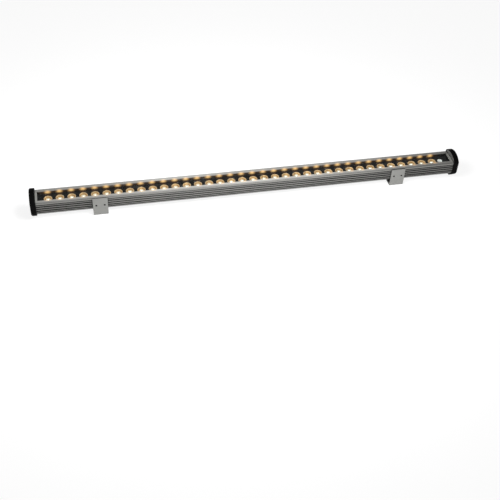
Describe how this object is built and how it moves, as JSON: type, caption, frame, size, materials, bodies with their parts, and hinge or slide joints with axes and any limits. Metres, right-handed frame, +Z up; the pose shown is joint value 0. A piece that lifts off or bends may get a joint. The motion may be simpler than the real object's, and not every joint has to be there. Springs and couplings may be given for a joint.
{
  "type": "linear grazer light",
  "caption": "Finned aluminium light bar with a row of bowl optics under glass, arched end caps and L brackets that slide along a slot underneath.",
  "frame": {"origin": "centre of the bar in plan, on the plane under the brackets", "axes": "+X along the bar towards the end with the cable inlet, -Y the front with the brackets, +Z up through the window"},
  "size_m": [1, 0.0568, 0.0614],
  "materials": {
    "body_aluminium": "satin anodised extrusion",
    "trim_aluminium": "satin cut edge",
    "bracket_aluminium": "fine bead-blasted, warm grey",
    "cap_plastic": "moulded, semi-matt",
    "window_glass": "clear toughened glass",
    "seal_rubber": "matt",
    "gasket_rubber": "matt",
    "bushing_rubber": "matt",
    "screw_steel": "stainless",
    "nut_steel": "zinc plated",
    "board_mask": "solder mask",
    "link_plastic": "moulded",
    "led_phosphor": "lit phosphor",
    "optic_amber": "metallised bowl lit from its foot",
    "tray_plastic": "moulded, semi-matt",
    "cap_white": "moulded",
    "lead_sleeve": "smooth",
    "driver_case": "satin",
    "pad_foam": "open foam"
  },
  "bodies": {
    "lamp": {"housing": "body_aluminium", "cover_glass": "window_glass", "glass_seal": "seal_rubber", "end_strip_left": "trim_aluminium", "end_strip_right": "trim_aluminium", "end_plate_left": "trim_aluminium", "end_plate_right": "trim_aluminium", "end_gasket_left": "gasket_rubber", "end_gasket_right": "gasket_rubber", "end_cap_left": "cap_plastic", "end_cap_right": "cap_plastic", "end_screws_left": "screw_steel", "end_screws_right": "screw_steel", "cable_bushing": "bushing_rubber", "led_board_left": "board_mask", "led_board_middle": "board_mask", "led_board_right": "board_mask", "board_links": "link_plastic", "board_screws": "screw_steel", "led_emitters": "led_phosphor", "led_optics": "optic_amber", "lens_tray_left": "tray_plastic", "lens_tray_middle": "tray_plastic", "lens_tray_right": "tray_plastic", "lead_cap": "cap_white", "driver_leads": "lead_sleeve", "driver_module": "driver_case", "driver_pads": "pad_foam"},
    "left_bracket": {"bracket_left": "bracket_aluminium", "slot_nut_left": "nut_steel", "clamp_screws_left": "screw_steel"},
    "right_bracket": {"bracket_right": "bracket_aluminium", "slot_nut_right": "nut_steel", "clamp_screws_right": "screw_steel"}
  },
  "joints": [
    {"name": "left_bracket_slide", "type": "slide", "parent": "lamp", "child": "left_bracket", "axis": [1, 0, 0], "range_m": [-0.119, 0.328]},
    {"name": "right_bracket_slide", "type": "slide", "parent": "lamp", "child": "right_bracket", "axis": [1, 0, 0], "range_m": [-0.328, 0.119]}
  ]
}
